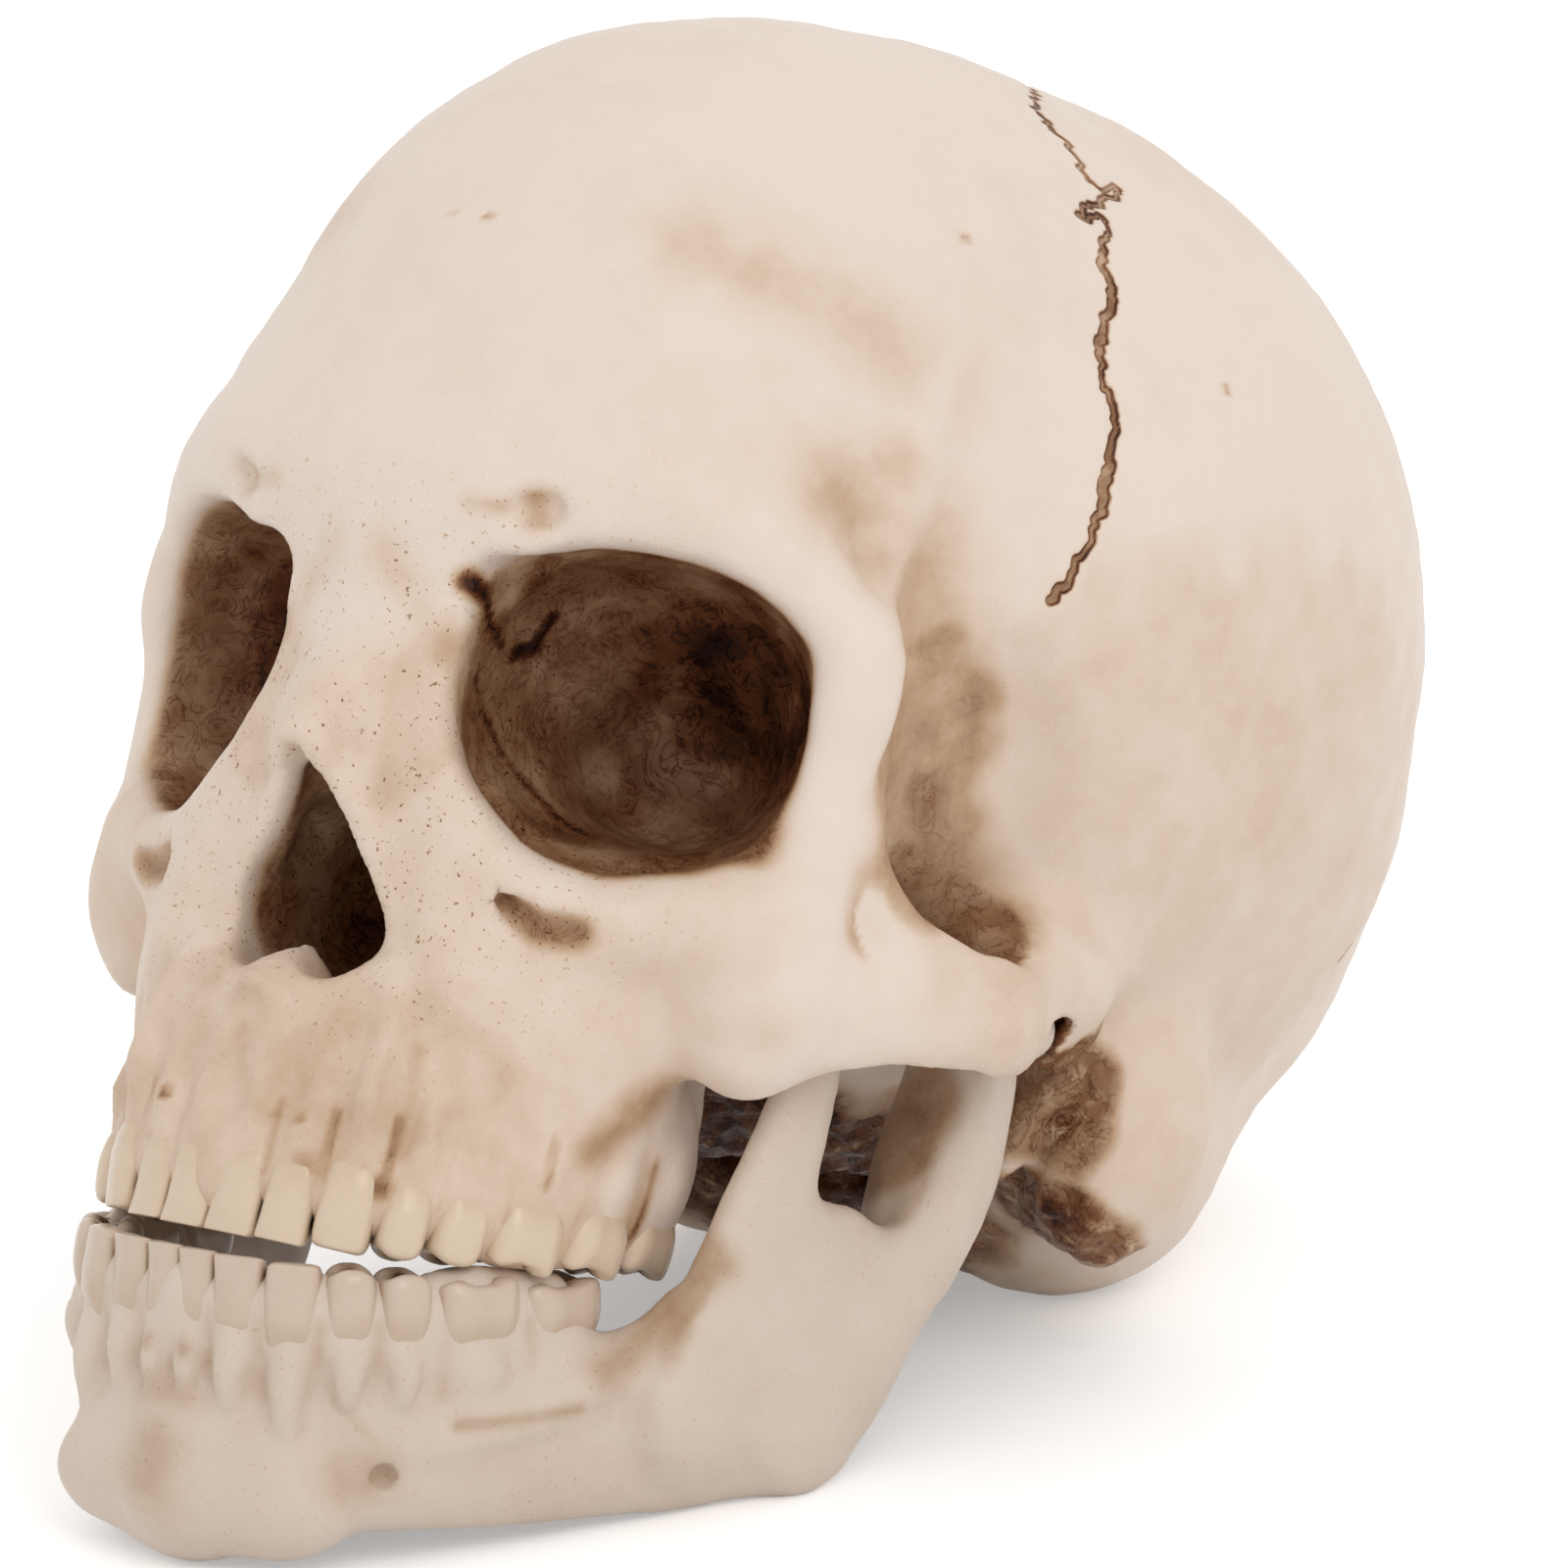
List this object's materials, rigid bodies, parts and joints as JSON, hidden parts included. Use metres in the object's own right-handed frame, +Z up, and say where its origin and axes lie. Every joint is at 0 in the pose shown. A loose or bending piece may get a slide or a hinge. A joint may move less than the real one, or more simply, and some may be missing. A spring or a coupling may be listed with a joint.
{
  "type": "anatomical skull model",
  "caption": "Life-size anatomical skull model: hollow braincase, open eye sockets and nose, cheek arches, and a toothed lower jaw that swings open on its condyles.",
  "frame": {"origin": "on the table plane, below the middle of the skull's bounding box, with the model resting on both jaw angles and the back of its head", "axes": "+Z up, the face looks towards -Y, the skull's own left is +X"},
  "size_m": [0.1358, 0.2136, 0.1629],
  "materials": {
    "cranium_resin": "ivory resin with brown stain in the hollows",
    "jaw_resin": "paler ivory resin",
    "upper_tooth_resin": "yellowed tooth resin, slightly glossy",
    "lower_tooth_resin": "ivory tooth resin, slightly glossy"
  },
  "bodies": {
    "cranium": {"cranium": "cranium_resin", "upper_left_canine": "upper_tooth_resin", "upper_left_incisor_1": "upper_tooth_resin", "upper_left_incisor_2": "upper_tooth_resin", "upper_left_molar_1": "upper_tooth_resin", "upper_left_molar_2": "upper_tooth_resin", "upper_left_molar_3": "upper_tooth_resin", "upper_left_premolar_1": "upper_tooth_resin", "upper_left_premolar_2": "upper_tooth_resin", "upper_right_canine": "upper_tooth_resin", "upper_right_incisor_1": "upper_tooth_resin", "upper_right_incisor_2": "upper_tooth_resin", "upper_right_molar_1": "upper_tooth_resin", "upper_right_molar_2": "upper_tooth_resin", "upper_right_molar_3": "upper_tooth_resin", "upper_right_premolar_1": "upper_tooth_resin", "upper_right_premolar_2": "upper_tooth_resin"},
    "jaw": {"mandible": "jaw_resin", "lower_left_canine": "lower_tooth_resin", "lower_left_incisor_1": "lower_tooth_resin", "lower_left_incisor_2": "lower_tooth_resin", "lower_left_molar_1": "lower_tooth_resin", "lower_left_molar_2": "lower_tooth_resin", "lower_left_premolar_1": "lower_tooth_resin", "lower_left_premolar_2": "lower_tooth_resin", "lower_right_canine": "lower_tooth_resin", "lower_right_incisor_1": "lower_tooth_resin", "lower_right_incisor_2": "lower_tooth_resin", "lower_right_molar_1": "lower_tooth_resin", "lower_right_molar_2": "lower_tooth_resin", "lower_right_premolar_1": "lower_tooth_resin", "lower_right_premolar_2": "lower_tooth_resin"}
  },
  "joints": [
    {"name": "jaw_hinge", "type": "hinge", "parent": "cranium", "child": "jaw", "pos_m": [0, -0.00969, 0.04821], "axis": [1, 0, 0], "range_deg": [0, 20]}
  ]
}
